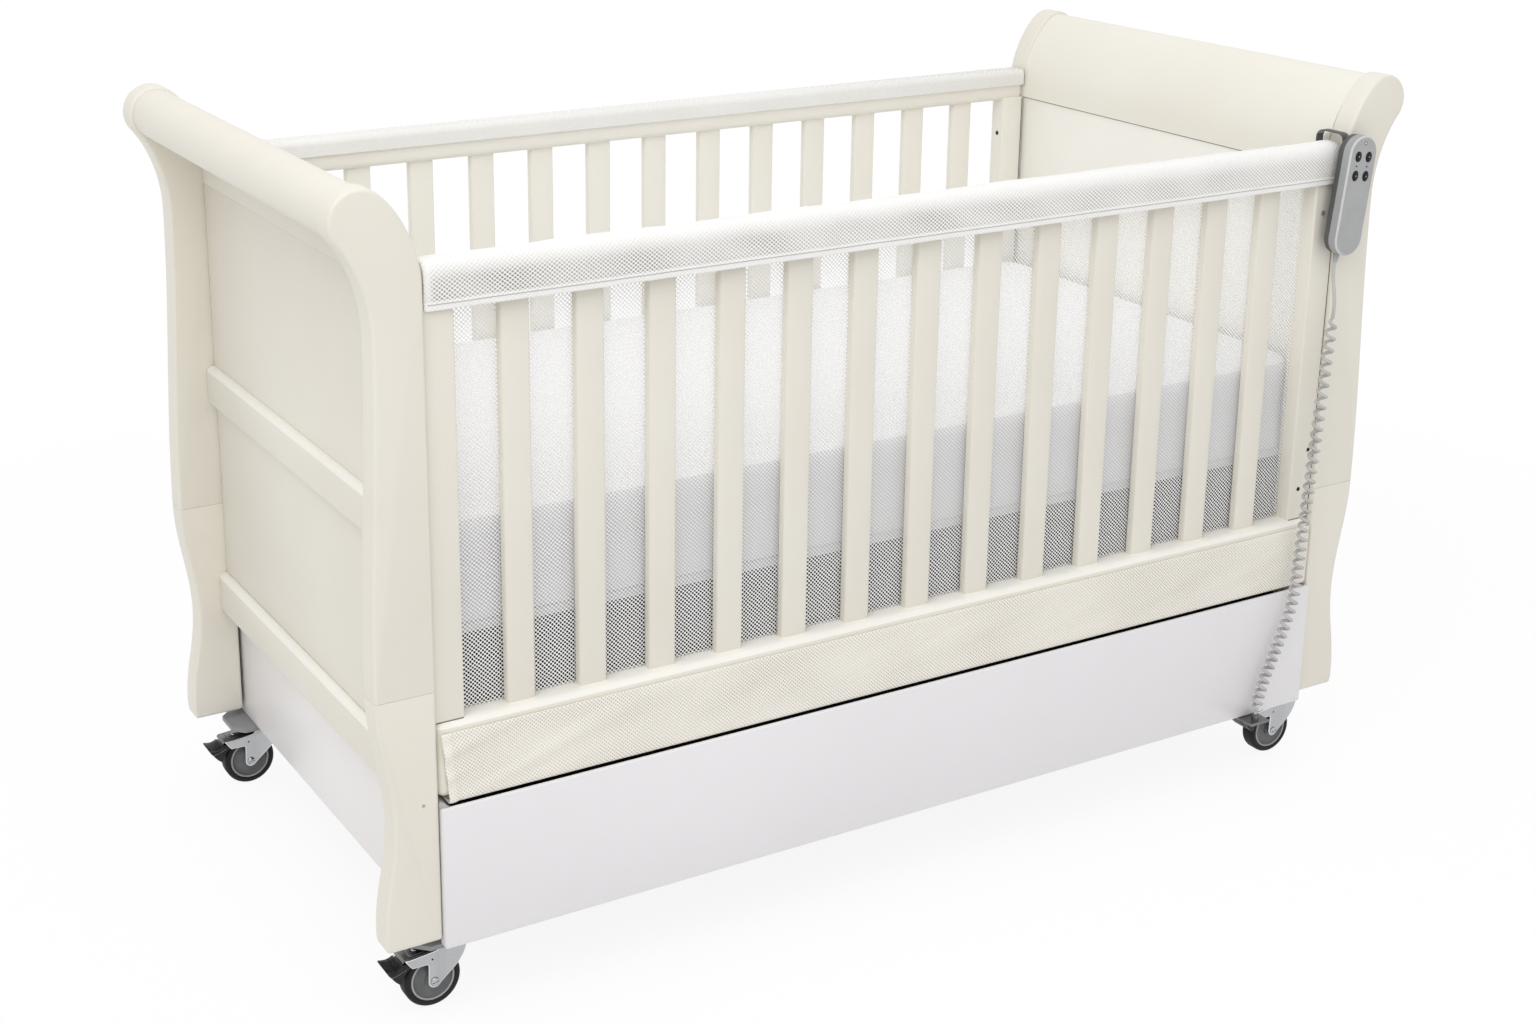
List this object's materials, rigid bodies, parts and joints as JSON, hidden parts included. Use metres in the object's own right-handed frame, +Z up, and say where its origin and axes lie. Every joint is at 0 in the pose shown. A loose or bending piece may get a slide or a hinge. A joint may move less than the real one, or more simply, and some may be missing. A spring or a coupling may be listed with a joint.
{
  "type": "paediatric cot",
  "caption": "Height-adjustable paediatric cot bed: sleigh ends, slatted sides, covered front rail, lifting mattress deck, castored lift base and corded handset.",
  "frame": {"origin": "on the floor, under the middle of the cot's length and width", "axes": "+X along the cot towards the handset end, -Y out of the covered front side, +Z up"},
  "size_m": [1.616, 0.8025, 1.042],
  "materials": {
    "cream_paint": "satin cream paint",
    "white_board": "satin white board",
    "painted_frame": "grey powder coat on hollow section",
    "zinc": "bright zinc",
    "black_rubber": "matt",
    "hub_grey": "moulded",
    "black_plastic": "moulded",
    "dark_grey": "moulded",
    "handset_grey": "moulded",
    "cord_grey": "smooth jacket",
    "white_fabric": "spacer mesh",
    "mattress_ticking": "smooth woven ticking over foam",
    "cream_fabric": "spacer mesh",
    "white_plastic": "smooth",
    "dark_board": "black laminate on plywood",
    "dark_frame": "graphite powder coat on hollow section"
  },
  "bodies": {
    "base": {"base_chassis": "painted_frame", "base_front_board": "white_board", "base_left_board": "white_board", "base_rear_board": "white_board", "base_right_board": "white_board", "control_box": "dark_grey", "cord_curls": "cord_grey", "cord_gland": "zinc", "left_column_outer": "painted_frame", "right_column_outer": "painted_frame"},
    "cot": {"bottom_rail_cover": "cream_fabric", "front_side": "cream_paint", "left_crest": "cream_paint", "left_front_leg": "cream_paint", "left_front_post": "cream_paint", "left_low_rail": "cream_paint", "left_mid_rail": "cream_paint", "left_panel": "cream_paint", "left_rear_leg": "cream_paint", "left_rear_post": "cream_paint", "lift_frame": "dark_frame", "mesh_liner": "white_fabric", "rear_rail_cap": "white_plastic", "rear_side": "cream_paint", "right_crest": "cream_paint", "right_front_leg": "cream_paint", "right_front_post": "cream_paint", "right_low_rail": "cream_paint", "right_mid_rail": "cream_paint", "right_panel": "cream_paint", "right_rear_leg": "cream_paint", "right_rear_post": "cream_paint", "top_rail_cover": "white_fabric"},
    "deck": {"mattress_deck": "dark_board", "mattress": "mattress_ticking"},
    "handset": {"handset_front": "handset_grey", "handset_back": "dark_grey", "cord_lead": "cord_grey"},
    "left_stage": {"left_column_middle": "zinc"},
    "right_stage": {"right_column_middle": "zinc"},
    "button_down_deck": {"button_down_deck": "black_plastic"},
    "button_down_lift": {"button_down_lift": "black_plastic"},
    "button_up_deck": {"button_up_deck": "black_plastic"},
    "button_up_lift": {"button_up_lift": "black_plastic"},
    "front_left_swivel": {"front_left_fork": "zinc"},
    "front_left_wheel": {"front_left_hub": "hub_grey", "front_left_tyre": "black_rubber"},
    "front_left_brake": {"front_left_pedal": "black_plastic"},
    "front_right_swivel": {"front_right_fork": "zinc"},
    "front_right_wheel": {"front_right_hub": "hub_grey", "front_right_tyre": "black_rubber"},
    "front_right_brake": {"front_right_pedal": "black_plastic"},
    "rear_left_swivel": {"rear_left_fork": "zinc"},
    "rear_left_wheel": {"rear_left_hub": "hub_grey", "rear_left_tyre": "black_rubber"},
    "rear_left_brake": {"rear_left_pedal": "black_plastic"},
    "rear_right_swivel": {"rear_right_fork": "zinc"},
    "rear_right_wheel": {"rear_right_hub": "hub_grey", "rear_right_tyre": "black_rubber"},
    "rear_right_brake": {"rear_right_pedal": "black_plastic"}
  },
  "joints": [
    {"name": "cot_lift", "type": "slide", "parent": "base", "child": "cot", "axis": [0, 0, 1], "range_m": [0, 0.22], "deforming": ["cord_curls"]},
    {"name": "left_stage_lift", "type": "slide", "parent": "base", "child": "left_stage", "axis": [0, 0, 1], "range_m": [0, 0.11]},
    {"name": "right_stage_lift", "type": "slide", "parent": "base", "child": "right_stage", "axis": [0, 0, 1], "range_m": [0, 0.11]},
    {"name": "deck_lift", "type": "slide", "parent": "cot", "child": "deck", "axis": [0, 0, 1], "range_m": [-0.085, 0.06]},
    {"name": "handset_unhook", "type": "slide", "parent": "cot", "child": "handset", "axis": [0, 0, 1], "range_m": [0, 0.06], "deforming": ["cord_curls"]},
    {"name": "press_down_deck", "type": "slide", "parent": "handset", "child": "button_down_deck", "axis": [0, 1, 0], "range_m": [0, 0.0012], "stiffness_N_per_m": 300},
    {"name": "press_down_lift", "type": "slide", "parent": "handset", "child": "button_down_lift", "axis": [0, 1, 0], "range_m": [0, 0.0012], "stiffness_N_per_m": 300},
    {"name": "press_up_deck", "type": "slide", "parent": "handset", "child": "button_up_deck", "axis": [0, 1, 0], "range_m": [0, 0.0012], "stiffness_N_per_m": 300},
    {"name": "press_up_lift", "type": "slide", "parent": "handset", "child": "button_up_lift", "axis": [0, 1, 0], "range_m": [0, 0.0012], "stiffness_N_per_m": 300},
    {"name": "front_left_swivel_turn", "type": "hinge", "parent": "base", "child": "front_left_swivel", "pos_m": [-0.695, -0.335, 0.088], "axis": [0, 0, 1], "continuous": true},
    {"name": "front_left_wheel_spin", "type": "hinge", "parent": "front_left_swivel", "child": "front_left_wheel", "pos_m": [-0.701, -0.335, 0.0375], "axis": [0, 1, 0], "continuous": true},
    {"name": "front_left_brake_press", "type": "hinge", "parent": "front_left_swivel", "child": "front_left_brake", "pos_m": [-0.73, -0.335, 0.0695], "axis": [0, 1, 0], "range_deg": [0, 16]},
    {"name": "front_right_swivel_turn", "type": "hinge", "parent": "base", "child": "front_right_swivel", "pos_m": [0.695, -0.335, 0.088], "axis": [0, 0, 1], "continuous": true},
    {"name": "front_right_wheel_spin", "type": "hinge", "parent": "front_right_swivel", "child": "front_right_wheel", "pos_m": [0.689, -0.335, 0.0375], "axis": [0, 1, 0], "continuous": true},
    {"name": "front_right_brake_press", "type": "hinge", "parent": "front_right_swivel", "child": "front_right_brake", "pos_m": [0.66, -0.335, 0.0695], "axis": [0, 1, 0], "range_deg": [0, 16]},
    {"name": "rear_left_swivel_turn", "type": "hinge", "parent": "base", "child": "rear_left_swivel", "pos_m": [-0.695, 0.335, 0.088], "axis": [0, 0, 1], "continuous": true},
    {"name": "rear_left_wheel_spin", "type": "hinge", "parent": "rear_left_swivel", "child": "rear_left_wheel", "pos_m": [-0.701, 0.335, 0.0375], "axis": [0, 1, 0], "continuous": true},
    {"name": "rear_left_brake_press", "type": "hinge", "parent": "rear_left_swivel", "child": "rear_left_brake", "pos_m": [-0.73, 0.335, 0.0695], "axis": [0, 1, 0], "range_deg": [0, 16]},
    {"name": "rear_right_swivel_turn", "type": "hinge", "parent": "base", "child": "rear_right_swivel", "pos_m": [0.695, 0.335, 0.088], "axis": [0, 0, 1], "continuous": true},
    {"name": "rear_right_wheel_spin", "type": "hinge", "parent": "rear_right_swivel", "child": "rear_right_wheel", "pos_m": [0.689, 0.335, 0.0375], "axis": [0, 1, 0], "continuous": true},
    {"name": "rear_right_brake_press", "type": "hinge", "parent": "rear_right_swivel", "child": "rear_right_brake", "pos_m": [0.66, 0.335, 0.0695], "axis": [0, 1, 0], "range_deg": [0, 16]}
  ],
  "couplings": [
    {"joint": "left_stage_lift", "follows": "cot_lift", "ratio": 0.5},
    {"joint": "right_stage_lift", "follows": "cot_lift", "ratio": 0.5}
  ]
}
